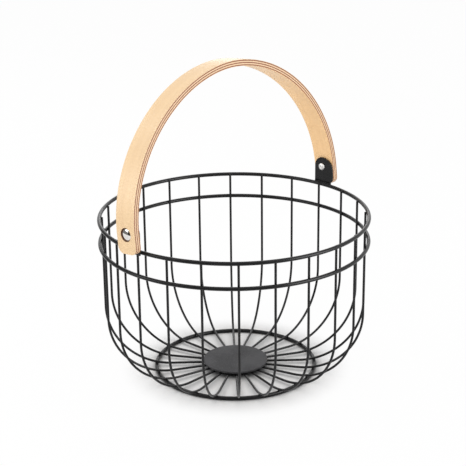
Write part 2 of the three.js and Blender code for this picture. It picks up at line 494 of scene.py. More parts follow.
class RibFanTree(GeometryTree):
    """Ribs around Z. Each comes down a leg, turns through a round bend and ends in a flat spoke."""

    name = "rib_fan"
    sizes = {
        "Leg Radius": 0.135,
        "Bend Radius": 0.068,
        "Bend Height": 0.071,
        "Top Height": 0.171,
        "End Radius": 0.022,
        "Wire Radius": 0.001,
        "Tip Length": 0.0004,
        "Count": 24,
        "Steps": 80,
        "Sides": 14,
    }
    quarter = math.pi / 2
    tip_steps = 3.0
    least_girth = 0.05

    def shape(self) -> Socket:
        """Bend one wire along its route and set copies of it around the axis.

        Returns:
            The ribs.
        """
        given, sketch, maths = self.given, self.sketch, self.sketch.math
        centre = maths("SUBTRACT", given["Leg Radius"], given["Bend Radius"])
        leg = maths("SUBTRACT", given["Top Height"], given["Bend Height"])
        bend = maths("MULTIPLY", given["Bend Radius"], self.quarter)
        spoke = maths("SUBTRACT", centre, given["End Radius"])
        whole = maths("ADD", maths("ADD", leg, bend), spoke)
        along, girth = self.steps_along(whole)

        past_leg = maths("SUBTRACT", along, leg)
        angle = maths("DIVIDE", past_leg, given["Bend Radius"])
        angle = maths("MINIMUM", maths("MAXIMUM", angle, 0.0), self.quarter)
        leg_left = maths("MAXIMUM", maths("MULTIPLY", past_leg, -1.0), 0.0)
        spoke_done = maths("MAXIMUM", maths("SUBTRACT", past_leg, bend), 0.0)
        outwards = maths("MULTIPLY_ADD", maths("COSINE", angle), given["Bend Radius"], centre)
        down = maths("MULTIPLY", maths("SINE", angle), given["Bend Radius"])
        x = maths("SUBTRACT", outwards, spoke_done)
        z = maths("ADD", maths("SUBTRACT", given["Bend Height"], down), leg_left)

        points = sketch.out("GeometryNodeMeshLine", {"Count": given["Steps"]})
        curve = sketch.out("GeometryNodeMeshToCurve", {0: points})
        places = {"Geometry": curve, "Position": sketch.xyz(x, 0.0, z)}
        route = sketch.out("GeometryNodeSetPosition", places)
        section = {"Resolution": given["Sides"], "Radius": given["Wire Radius"]}
        profile = sketch.out("GeometryNodeCurvePrimitiveCircle", section)
        swept = {"Curve": route, "Profile Curve": profile, "Scale": girth, "Fill Caps": True}
        return self.fan(sketch.out("GeometryNodeCurveToMesh", swept))

    def steps_along(self, whole: Socket) -> tuple[Socket, Socket]:
        """Share out the wire's length, with rounded tips at its cut ends.

        Args:
            whole: The length of the whole wire.

        Returns:
            For each step, its length along the wire and the wire's girth there.
        """
        given, maths, tip_steps = self.given, self.sketch.math, self.tip_steps
        index = self.sketch.out("GeometryNodeInputIndex")
        last = maths("SUBTRACT", given["Steps"], 1.0)
        head = maths("DIVIDE", index, tip_steps, clamp=True)
        tail = maths("DIVIDE", maths("SUBTRACT", last, index), tip_steps, clamp=True)
        head_turn = maths("MULTIPLY", head, self.quarter)
        tail_turn = maths("MULTIPLY", tail, self.quarter)
        inner_steps = maths("SUBTRACT", last, 2 * tip_steps)
        done = maths("SUBTRACT", index, tip_steps)
        share = maths("DIVIDE", done, inner_steps, clamp=True)
        between = maths("MULTIPLY_ADD", given["Tip Length"], -2.0, whole)
        head_length = maths("SUBTRACT", 1.0, maths("COSINE", head_turn))
        tips = maths("ADD", head_length, maths("COSINE", tail_turn))
        middle = maths("MULTIPLY", share, between)
        along = maths("MULTIPLY_ADD", tips, given["Tip Length"], middle)
        girth = maths("MULTIPLY", maths("SINE", head_turn), maths("SINE", tail_turn))
        return along, maths("MAXIMUM", girth, self.least_girth)

    def fan(self, rib: Socket) -> Socket:
        """Set copies of one rib evenly around the axis.

        Args:
            rib: The rib's geometry.

        Returns:
            The copies.
        """
        sketch, count = self.sketch, self.given["Count"]
        places = {"Count": count, "Offset": (0.0, 0.0, 0.0)}
        points = sketch.out("GeometryNodeMeshLine", places)
        share = sketch.math("DIVIDE", sketch.out("GeometryNodeInputIndex"), count)
        angle = sketch.xyz(0.0, 0.0, sketch.math("MULTIPLY", share, FULL_CIRCLE))
        turn = sketch.out("FunctionNodeEulerToRotation", {0: angle})
        copies = {"Points": points, "Instance": rib, "Rotation": turn}
        return sketch.out("GeometryNodeInstanceOnPoints", copies)


class WeldRowTree(GeometryTree):
    """Weld beads at even steps on a circle around Z, each a little different."""

    name = "weld_row"
    sizes = {
        "Row Radius": 0.137,
        "Height": 0.17,
        "First Angle": 0.0,
        "Angle Step": 0.26,
        "Count": 24,
        "Outward": 0.0008,
        "Around": 0.0014,
        "Upward": 0.0014,
        "Unevenness": 0.15,
        "Seed": 1,
    }
    bead_fineness = 2
    random_inputs = (2, 3, 8)
    random_result = 1

    def scatter(self, seed_step: int) -> Socket:
        """A random share around 1 for each bead, as wide as the unevenness.

        Args:
            seed_step: What is added to the row's seed.

        Returns:
            The share.
        """
        given, maths = self.given, self.sketch.math
        low = maths("SUBTRACT", 1.0, given["Unevenness"])
        high = maths("ADD", 1.0, given["Unevenness"])
        seed = maths("ADD", given["Seed"], float(seed_step))
        inputs = dict(zip(self.random_inputs, (low, high, seed)))
        node = self.sketch.add("FunctionNodeRandomValue", inputs, data_type="FLOAT")
        return node.outputs[self.random_result]

    def shape(self) -> Socket:
        """Set flattened beads on the circle.

        Returns:
            The beads.
        """
        sketch, given, maths = self.sketch, self.given, self.sketch.math
        index = sketch.out("GeometryNodeInputIndex")
        angle = maths("MULTIPLY_ADD", index, given["Angle Step"], given["First Angle"])
        x = maths("MULTIPLY", maths("COSINE", angle), given["Row Radius"])
        y = maths("MULTIPLY", maths("SINE", angle), given["Row Radius"])
        row = sketch.out("GeometryNodeMeshLine", {"Count": given["Count"]})
        places = {"Geometry": row, "Position": sketch.xyz(x, y, given["Height"])}
        points = sketch.out("GeometryNodeSetPosition", places)
        ball = {"Radius": 1.0, "Subdivisions": self.bead_fineness}
        bead = sketch.out("GeometryNodeMeshIcoSphere", ball)
        spans = (given["Outward"], given["Around"], given["Upward"])
        scale = sketch.xyz(*(maths("MULTIPLY", s, self.scatter(i)) for i, s in enumerate(spans)))
        turn = sketch.out("FunctionNodeEulerToRotation", {0: sketch.xyz(0.0, 0.0, angle)})
        copies = {"Points": points, "Instance": bead, "Rotation": turn, "Scale": scale}
        return sketch.out("GeometryNodeInstanceOnPoints", copies)


@dataclass(frozen=True)
class WeldRow:
    """A row of weld beads around Z on the basket, in millimetres and radians.

    The bead is given by its half axes: outwards, around the circle and upwards.
    """

    name: str
    radius: float
    height: float
    bead: tuple[float, float, float]
    seed: int
    count: int
    step: float
    first_angle: float = 0.0
    unevenness: float = 0.15

    def build(self, coat: Material) -> None:
        """Make the row and let it ride on the basket.

        Args:
            coat: Its finish.
        """
        lengths = {"Row Radius": self.radius, "Height": self.height}
        lengths |= dict(zip(("Outward", "Around", "Upward"), self.bead))
        numbers = {
            "First Angle": self.first_angle,
            "Angle Step": self.step,
            "Count": self.count,
            "Unevenness": self.unevenness,
            "Seed": self.seed,
        }
        piece = WeldRowTree().piece(self.name, coat, lengths, numbers)
        attach(piece, Body.BASKET)


# Shader groups


class ShaderGroup:
    """A node group that several finishes share."""

    name = "effect"
    inputs: dict[str, object] = {}
    outputs: tuple[str, ...] = ()

    def __init__(self) -> None:
        """Draw the group once."""
        outputs = dict.fromkeys(self.outputs, 0.0)
        self.sketch = open_tree(self.name, "ShaderNodeTree", self.inputs, outputs)
        self.given = self.sketch.add("NodeGroupInput").outputs
        self.sketch.add("NodeGroupOutput", self.draw())

    def draw(self) -> dict[str, Socket]:
        """Draw the nodes and return a socket for each output."""
        raise NotImplementedError

    def place(self, sketch: Sketch, inputs: dict[str, object]) -> Outputs:
        """Place the group in a material and return its outputs."""
        return sketch.add("ShaderNodeGroup", inputs, node_tree=self.sketch.tree).outputs


class CoatGrain(ShaderGroup):
    """The fine skin of a baked powder coat, with a few raised specks."""

    name = "coat_grain"
    inputs = {"Vector": Kind.VECTOR, "Grains per Metre": 2500.0, "Speck Share": 0.2}
    outputs = ("Height", "Specks", "Clouds")
    speck_core = 0.1
    speck_border = 0.45
    speck_height = 0.4
    clouds_per_grain = 0.03

    def draw(self) -> dict[str, Socket]:
        """Layer a fine grain, sparse specks and slow clouds.

        Returns:
            A socket for each output.
        """
        sketch, given = self.sketch, self.given
        vector, scale = given["Vector"], given["Grains per Metre"]
        grain = sketch.noise(vector, scale, detail=3.0, roughness=0.6)
        cells = sketch.add("ShaderNodeTexVoronoi", {"Vector": vector, "Scale": scale}).outputs
        picked = sketch.out("ShaderNodeSeparateColor", {0: cells["Color"]})
        threshold = sketch.math("SUBTRACT", 1.0, given["Speck Share"])
        chosen = sketch.math("GREATER_THAN", picked, threshold)
        near = sketch.ramp(cells["Distance"], self.speck_core, self.speck_border, 1.0, 0.0)
        specks = sketch.math("MULTIPLY", chosen, near)
        slow = sketch.math("MULTIPLY", scale, self.clouds_per_grain)
        clouds = sketch.noise(vector, slow, detail=3.0)
        height = sketch.math("MULTIPLY_ADD", specks, self.speck_height, grain)
        return {"Height": height, "Specks": specks, "Clouds": clouds}


class VeneerGrain(ShaderGroup):
    """Wood grain that runs along the strip: slow bands, fine streaks and short pores."""

    name = "veneer_grain"
    inputs = {"Strip": Kind.VECTOR, "Bands per Metre": 180.0, "Stretch": 0.06, "Shift": 0.0}
    outputs = ("Bands", "Streaks", "Pores")
    streaks_per_band = 5.0
    pores_per_band = 14.0
    pore_shortening = (3.0, 1.0, 1.0)
    pore_range = (0.62, 0.72)

    def draw(self) -> dict[str, Socket]:
        """Stretch three noises along the strip's length.

        Returns:
            A socket for each output.
        """
        sketch, given = self.sketch, self.given
        strip = sketch.add("ShaderNodeSeparateXYZ", {0: given["Strip"]}).outputs
        along = sketch.math("MULTIPLY", strip[0], given["Stretch"])
        along = sketch.math("ADD", along, given["Shift"])
        stretched = sketch.xyz(along, strip[1], strip[2])
        scale = given["Bands per Metre"]
        bands = sketch.noise(stretched, scale, detail=2.0)
        closer = sketch.math("MULTIPLY", scale, self.streaks_per_band)
        streaks = sketch.noise(stretched, closer, detail=3.0, roughness=0.6)
        short = {0: stretched, 1: self.pore_shortening}
        shortened = sketch.out("ShaderNodeVectorMath", short, operation="MULTIPLY")
        closest = sketch.math("MULTIPLY", scale, self.pores_per_band)
        pores = sketch.ramp(sketch.noise(shortened, closest, detail=1.0), *self.pore_range)
        return {"Bands": bands, "Streaks": streaks, "Pores": pores}


class Handling(ShaderGroup):
    """Faint smears and dust that a piece picks up when it is put together."""

    name = "handling"
    inputs = {"Vector": Kind.VECTOR, "Smears per Metre": 60.0}
    outputs = ("Smears", "Dust")
    dust_per_smear = 40.0
    smear_range = (0.4, 0.7)
    dust_range = (0.66, 0.74)

    def draw(self) -> dict[str, Socket]:
        """Draw slow smears and small dust points.

        Returns:
            A socket for each output.
        """
        sketch, vector, scale = self.sketch, self.given["Vector"], self.given["Smears per Metre"]
        smears = sketch.noise(vector, scale, detail=4.0, roughness=0.65)
        fine = sketch.math("MULTIPLY", scale, self.dust_per_smear)
        dust = sketch.ramp(sketch.noise(vector, fine, detail=1.0), *self.dust_range)
        return {"Smears": sketch.ramp(smears, *self.smear_range), "Dust": dust}


@dataclass(frozen=True)
class Effects:
    """The shader groups, built once."""

    coat: CoatGrain
    veneer: VeneerGrain
    handling: Handling

    def skin(
        self, sketch: Sketch, grains_per_metre: float, speck_share: float, smears_per_metre: float
    ) -> tuple[Outputs, Outputs]:
        """Lay a coat's grain and the marks of handling over a piece.

        Args:
            sketch: The material's tree.
            grains_per_metre: How fine the grain is.
            speck_share: The share of raised specks.
            smears_per_metre: How small the smears are.

        Returns:
            The outputs of the grain and of the handling.
        """
        place = sketch.object_place()
        grained = {"Grains per Metre": grains_per_metre, "Speck Share": speck_share}
        grain = self.coat.place(sketch, {"Vector": place} | grained)
        smeared = {"Vector": place, "Smears per Metre": smears_per_metre}
        return grain, self.handling.place(sketch, smeared)


# Finishes


def open_shader(owner: Material | bpy.types.World) -> Sketch:
    """Start on the empty node tree of a material or a world.

    Args:
        owner: The new material or world.

    Returns:
        A sketch on its tree, without nodes.
    """
    owner.use_nodes = True
    owner.node_tree.nodes.clear()
    return Sketch(owner.node_tree)


class SurfaceSketch(Sketch):
    """The tree of a new material, with one surface shader."""

    def __init__(self, name: str) -> None:
        """Make the material.

        Args:
            name: The material's name.
        """
        self.material = bpy.data.materials.new(name)
        super().__init__(open_shader(self.material).tree)
        self.surface = self.add("ShaderNodeBsdfPrincipled")
        self.add("ShaderNodeOutputMaterial", {"Surface": self.surface.outputs[0]})

    def relief(self, height: Socket, depth: float, strength: float) -> Socket:
        """Turn a height into a normal, with the relief's depth in millimetres."""
        inputs = {"Strength": strength, "Distance": depth * MM, "Height": height}
        return self.out("ShaderNodeBump", inputs)

    def dress(self, colour: Socket, rough: Socket, relief: Socket, **plain: float) -> Material:
        """Feed the surface shader.

        Args:
            colour: The colour over the surface.
            rough: The roughness over the surface.
            relief: The normal over the surface.
            **plain: Values that are the same all over, by the shader's inputs with underscores.

        Returns:
            The finished material.
        """
        inputs = {"Base Color": colour, "Roughness": rough, "Normal": relief}
        inputs |= {name.replace("_", " "): value for name, value in plain.items()}
        for name, value in inputs.items():
            self.feed(self.surface.inputs[name], value)
        return self.material


@dataclass(frozen=True)
class PowderCoat:
    """Baked powder coat: dark, fine grained, with a soft gloss."""

    name: str
    colour: Colour
    speck_colour: Colour
    grains_per_metre: float
    speck_share: float
    roughness: float
    gloss: float
    grain_depth: float
    relief_strength: float = 1.0
    cloud_range: Pair = (0.35, 0.7)
    cloud_share: float = 0.35
    smears_per_metre: float = 45.0
    smear_roughness: float = 0.08
    dust_roughness: float = 0.15

    def material(self, effects: Effects) -> Material:
        """Build the finish.

        Args:
            effects: The shared shader groups.

        Returns:
            The material.
        """
        sketch = SurfaceSketch(self.name)
        grain, handled = effects.skin(
            sketch, self.grains_per_metre, self.speck_share, self.smears_per_metre
        )
        specked = sketch.mix_colour(grain["Specks"], self.colour, self.speck_colour)
        clouds = sketch.ramp(grain["Clouds"], *self.cloud_range, 0.0, self.cloud_share)
        clouded = sketch.mix_colour(clouds, specked, self.speck_colour)
        least = self.roughness - self.smear_roughness / 2
        smooth = sketch.math("MULTIPLY_ADD", handled["Smears"], self.smear_roughness, least)
        rough = sketch.math("MULTIPLY_ADD", handled["Dust"], self.dust_roughness, smooth)
        relief = sketch.relief(grain["Height"], self.grain_depth, self.relief_strength)
        return sketch.dress(clouded, rough, relief, Specular_IOR_Level=self.gloss)


@dataclass(frozen=True)
class BentPlywood:
    """Clear-lacquered plywood: pale veneer on both faces, light and dark plies at the edges.

    The strip attribute gives the place along the strip, across it and through its thickness.
    """

    name: str
    outer_veneer: Colour
    inner_veneer_painted_light: Colour
    light_ply: Colour
    dark_ply: Colour
    glue: Colour
    # Painted shade: the dark brown that the recess walls and floors are darkened towards.
    scorch: Colour
    face_ply: float
    dark_layer: float
    light_layer: float
    thickness: float
    face_border: float = 0.06
    face_bands_per_metre: float = 170.0
    face_stretch: float = 0.07
    edge_bands_per_metre: float = 520.0
    edge_stretch: float = 0.12
    edge_shift: float = 3.7
    smears_per_metre: float = 35.0
    dust_share: float = 0.05
    band_range: Pair = (0.3, 0.7)
    band_share: float = 0.06
    streak_range: Pair = (0.45, 0.75)
    face_streak_share: float = 0.05
    light_streak_share: float = 0.14
    dark_streak_share: float = 0.3
    pore_share: float = 0.08
    waver: float = 0.12
    ply_blur: float = 0.03
    glue_range: Pair = (0.01, 0.04)
    glue_share: float = 0.4
    scorch_range: Pair = (0.2, 0.8)
    scorch_shares: Pair = (0.95, 0.75)
    gloss: float = 0.5
    roughness: float = 0.36
    edge_roughness: float = 0.2
    pore_roughness: float = 0.12
    relief_depth: float = 0.03
    relief_strength: float = 0.6

    def material(self, effects: Effects) -> Material:
        """Build the finish.

        Args:
            effects: The shared shader groups.

        Returns:
            The material.
        """
        sketch = SurfaceSketch(self.name)
        strip = sketch.add("ShaderNodeAttribute", attribute_name=STRIP_ATTRIBUTE).outputs["Vector"]
        depth = sketch.add("ShaderNodeSeparateXYZ", {0: strip}).outputs[2]
        faces = effects.veneer.place(sketch, {
            "Strip": strip,
            "Bands per Metre": self.face_bands_per_metre,
            "Stretch": self.face_stretch,
        })
        plies = effects.veneer.place(sketch, {
            "Strip": strip,
            "Bands per Metre": self.edge_bands_per_metre,
            "Stretch": self.edge_stretch,
            "Shift": self.edge_shift,
        })
        smeared = {"Vector": strip, "Smears per Metre": self.smears_per_metre}
        handled = effects.handling.place(sketch, smeared)

        veneer = self.veneer_colour(sketch, depth, faces)
        deep = self.inside(sketch, depth)
        colour = sketch.mix_colour(deep, veneer, self.ply_colour(sketch, depth, plies))
        dust = sketch.math("MULTIPLY", handled["Dust"], self.dust_share)
        colour = sketch.mix_colour(dust, colour, self.glue)
        # Painted shade: the recesses are mixed towards a dark brown, unevenly along the plies, so
        # that they look shaded.
        cut = sketch.add("ShaderNodeAttribute", attribute_name=PAINTED_RECESS_SHADE_ATTRIBUTE).outputs["Fac"]
        uneven = sketch.ramp(plies["Bands"], *self.scorch_range, *self.scorch_shares)
        colour = sketch.mix_colour(sketch.math("MULTIPLY", cut, uneven), colour, self.scorch)

        fibre = sketch.math("MULTIPLY_ADD", faces["Pores"], -1.0, faces["Streaks"])
        relief = sketch.relief(fibre, self.relief_depth, self.relief_strength)
        rough = sketch.math("MULTIPLY_ADD", deep, self.edge_roughness, self.roughness)
        rough = sketch.math("MULTIPLY_ADD", faces["Pores"], self.pore_roughness, rough)
        return sketch.dress(colour, rough, relief, Specular_IOR_Level=self.gloss)

    def veneer_colour(self, sketch: Sketch, depth: Socket, grain: Outputs) -> Socket:
        """Colour of the two faces: the veneer outside, and on the inside face a lighter, warmer
        colour that is painted light, to make up for its shade.

        Args:
            sketch: The material's tree.
            depth: The place through the strip's thickness.
            grain: The grain of the faces.

        Returns:
            The colour.
        """
        # Painted light: the inside face of the same veneer gets a lighter, warmer colour to make up
        # for its shade.
        outside = sketch.math("GREATER_THAN", depth, self.thickness / 2 * MM)
        colour = sketch.mix_colour(outside, self.inner_veneer_painted_light, self.outer_veneer)
        bands = sketch.ramp(grain["Bands"], *self.band_range, 0.0, self.band_share)
        colour = sketch.mix_colour(bands, colour, self.dark_ply)
        colour = self.streaked(sketch, grain, self.face_streak_share, colour, self.dark_ply)
        pores = sketch.math("MULTIPLY", grain["Pores"], self.pore_share)
        return sketch.mix_colour(pores, colour, self.glue)

    def streaked(
        self, sketch: Sketch, grain: Outputs, share: float, base: Colour | Socket, dark: Colour
    ) -> Socket:
        """Draw darker streaks of the grain over a colour, up to a share."""
        streaks = sketch.ramp(grain["Streaks"], *self.streak_range, 0.0, share)
        return sketch.mix_colour(streaks, base, dark)

    def ply_colour(self, sketch: Sketch, depth: Socket, grain: Outputs) -> Socket:
        """Colour of the cut plies: light and dark by turns, with glue at their borders.

        Args:
            sketch: The material's tree.
            depth: The place through the strip's thickness.
            grain: The grain of the edges.

        Returns:
            The colour.
        """
        waver = self.waver * MM
        wavering = sketch.math("MULTIPLY_ADD", grain["Bands"], waver, -waver / 2)
        layer = sketch.math("ADD", depth, wavering)
        pair = self.dark_layer + self.light_layer
        first_dark = (self.face_ply + self.dark_layer / 2 - pair / 2) * MM
        pairs = sketch.math("DIVIDE", sketch.math("SUBTRACT", layer, first_dark), pair * MM)
        phase = sketch.math("FRACT", pairs)
        from_dark = sketch.math("ABSOLUTE", sketch.math("SUBTRACT", phase, 0.5))
        half = self.dark_layer / 2 / pair
        dark = sketch.ramp(from_dark, half - self.ply_blur, half + self.ply_blur, 1.0, 0.0)
        border = sketch.math("ABSOLUTE", sketch.math("SUBTRACT", from_dark, half))
        glue = sketch.ramp(border, *self.glue_range, self.glue_share, 0.0)
        light = self.streaked(sketch, grain, self.light_streak_share, self.light_ply, self.dark_ply)
        deep = self.streaked(sketch, grain, self.dark_streak_share, self.dark_ply, self.glue)
        return sketch.mix_colour(glue, sketch.mix_colour(dark, light, deep), self.glue)

    def inside(self, sketch: Sketch, depth: Socket) -> Socket:
        """Tell the inner plies from the two faces.

        Args:
            sketch: The material's tree.
            depth: The place through the strip's thickness.

        Returns:
            1 between the two face plies and 0 in them.
        """
        border, low = self.face_border * MM, self.face_ply * MM
        high = (self.thickness - self.face_ply) * MM
        past_low = sketch.ramp(depth, low - border, low + border)
        below_high = sketch.ramp(depth, high - border, high + border, 1.0, 0.0)
        return sketch.math("MULTIPLY", past_low, below_high)


@dataclass(frozen=True)
class BrightMetal:
    """Plated or polished steel with faint smears."""

    name: str
    colour: Colour
    roughness: float
    smear_roughness: float
    grain_depth: float
    smears_per_metre: float = 320.0
    smear_light: float = 0.86
    grains_per_metre: float = 3200.0
    speck_share: float = 0.02
    relief_strength: float = 0.3

    def material(self, effects: Effects) -> Material:
        """Build the finish.

        Args:
            effects: The shared shader groups.

        Returns:
            The material.
        """
        sketch = SurfaceSketch(self.name)
        grain, handled = effects.skin(
            sketch, self.grains_per_metre, self.speck_share, self.smears_per_metre
        )
        smears = handled["Smears"]
        colour = sketch.mix_colour(smears, self.colour, darker(self.colour, self.smear_light))
        spread = self.smear_roughness - self.roughness
        rough = sketch.math("MULTIPLY_ADD", smears, spread, self.roughness)
        relief = sketch.relief(grain["Height"], self.grain_depth, self.relief_strength)
        return sketch.dress(colour, rough, relief, Metallic=1.0)


@dataclass(frozen=True)
class MouldedPlastic:
    """Pale moulded plastic with a fine matt texture."""

    name: str
    colour: Colour
    roughness: float
    grains_per_metre: float = 1800.0
    speck_share: float = 0.05
    cloud_roughness: float = 0.1
    smears_per_metre: float = 150.0
    smear_share: float = 0.5
    smear_light: float = 0.8
    relief_depth: float = 0.02
    relief_strength: float = 0.5

    def material(self, effects: Effects) -> Material:
        """Build the finish.

        Args:
            effects: The shared shader groups.

        Returns:
            The material.
        """
        sketch = SurfaceSketch(self.name)
        grain, handled = effects.skin(
            sketch, self.grains_per_metre, self.speck_share, self.smears_per_metre
        )
        factor = sketch.math("MULTIPLY", handled["Smears"], self.smear_share)
        colour = sketch.mix_colour(factor, self.colour, darker(self.colour, self.smear_light))
        least = self.roughness - self.cloud_roughness / 2
        rough = sketch.math("MULTIPLY_ADD", grain["Clouds"], self.cloud_roughness, least)
        relief = sketch.relief(grain["Height"], self.relief_depth, self.relief_strength)
        return sketch.dress(colour, rough, relief)


@dataclass(frozen=True)
class Finishes:
    """Every material of the object."""

    black_coat: Material
    grey_coat: Material
    plywood: Material
    chrome: Material
    screw_steel: Material
    washer_plastic: Material


# Sub-assemblies


@dataclass
class WireFrame:
    """The three rings, the fan of ribs and the welds that hold them."""

    ring_wire: float = 4.0
    rib_wire: float = 2.5
    rim_radius: float = 138.2
    rim_height: float = 169.2
    second_ring_height: float = 143.7
    foot_ring_radius: float = 84.0
    rib_count: int = 24
    rib_leg_radius: float = 135.5
    rib_bend_radius: float = 67.2
    rib_bend_height: float = 70.787
    rib_top_height: float = 169.6
    rib_end_radius: float = 22.0
    rib_tip: float = 0.45
    ring_steps: int = 240
    ring_sides: int = 20
    rib_steps: int = 84
    rib_sides: int = 14
    disc_weld_radius: float = 29.0
    ring_bead: tuple[float, float, float] = (0.75, 1.5, 1.25)
    foot_bead: tuple[float, float, float] = (1.3, 1.45, 0.8)
    disc_bead: tuple[float, float, float] = (1.8, 1.2, 0.55)

    def build(self, finishes: Finishes) -> None:
        """Make and dress the wires and their welds.

        Args:
            finishes: The object's materials.
        """
        coat = finishes.black_coat
        self.make_rings(coat)
        self.make_ribs(coat)
        for row in self.weld_rows():
            row.build(coat)

    def make_rings(self, coat: Material) -> None:
        """Make the rim, the ring under it and the foot.

        Args:
            coat: Their finish.
        """
        tree = RingTree()
        rings = (
            ("rim_ring", self.rim_radius, self.rim_height),
            ("second_ring", self.rim_radius, self.second_ring_height),
            ("foot_ring", self.foot_ring_radius, self.ring_wire / 2),
        )
        numbers = {"Steps": self.ring_steps, "Sides": self.ring_sides}
        for node, radius, height in rings:
            lengths = {"Ring Radius": radius, "Wire Radius": self.ring_wire / 2, "Height": height}
            piece = tree.piece(f"{node}_wire", coat, lengths, numbers)
            attach(piece, Body.BASKET, [node])

    def make_ribs(self, coat: Material) -> None:
        """Make the ribs as one fan.

        Args:
            coat: Their finish.
        """
        lengths = {
            "Leg Radius": self.rib_leg_radius,
            "Bend Radius": self.rib_bend_radius,
            "Bend Height": self.rib_bend_height,
            "Top Height": self.rib_top_height,
            "End Radius": self.rib_end_radius,
            "Wire Radius": self.rib_wire / 2,
            "Tip Length": self.rib_tip,
        }
        numbers = {"Count": self.rib_count, "Steps": self.rib_steps, "Sides": self.rib_sides}
        piece = RibFanTree().piece("rib_fan_wires", coat, lengths, numbers)
        nodes = [f"rib_{i + 1:02d}" for i in range(self.rib_count)]
        attach(piece, Body.BASKET, nodes)

    def weld_rows(self) -> list[WeldRow]:
        """Place the beads where the ribs meet the rings and the disc.

        Returns:
            The rows of beads.
        """
        inside_ring = self.rim_radius - self.ring_wire / 2
        spoke_top = self.rib_bend_height - self.rib_bend_radius + self.rib_wire / 2
        foot_out = self.foot_ring_radius - (self.rib_leg_radius - self.rib_bend_radius)
        bend_middle = self.rib_bend_height - math.sqrt(self.rib_bend_radius**2 - foot_out**2)
        foot_contact = (bend_middle - self.rib_wire / 2 + self.ring_wire) / 2
        # Name, radius, height, bead and seed
        rows = (
            ("rim_welds", inside_ring, self.rim_height, self.ring_bead, 3),
            ("second_ring_welds", inside_ring, self.second_ring_height, self.ring_bead, 17),
            ("foot_ring_welds", self.foot_ring_radius, foot_contact, self.foot_bead, 29),
            ("disc_welds", self.disc_weld_radius, spoke_top, self.disc_bead, 41),
        )
        return [WeldRow(*row, self.rib_count, FULL_CIRCLE / self.rib_count) for row in rows]


@dataclass
class CentreDisc:
    """The flat disc over the inner ends of the ribs."""

    diameter: float = 68.0
    thickness: float = 2.0
    bottom: float = 5.137
    edge_radius: float = 0.45
    flat_share: float = 0.97
    edge_steps: int = 4
    steps: int = 128

    def build(self, finishes: Finishes) -> None:
        """Make and dress the disc.

        Args:
            finishes: The object's materials.
        """
        low, high, edge = self.bottom, self.bottom + self.thickness, self.edge_radius
        corner = self.diameter / 2 - edge
        flat = corner * self.flat_share
        edges = arc((corner, low + edge), edge, -90, 0, self.edge_steps)
        edges += arc((corner, high - edge), edge, 0, 90, self.edge_steps)
        outline = [(0.0, low), (flat, low), *edges, (flat, high), (0.0, high)]
        shape = turned([(z, r) for r, z in outline], Axis.Z, self.steps)
        piece = mesh_piece("centre_disc_plate", shape, finishes.grey_coat)
        weigh_normals(piece)
        attach(piece, Body.BASKET, ["centre_disc"])


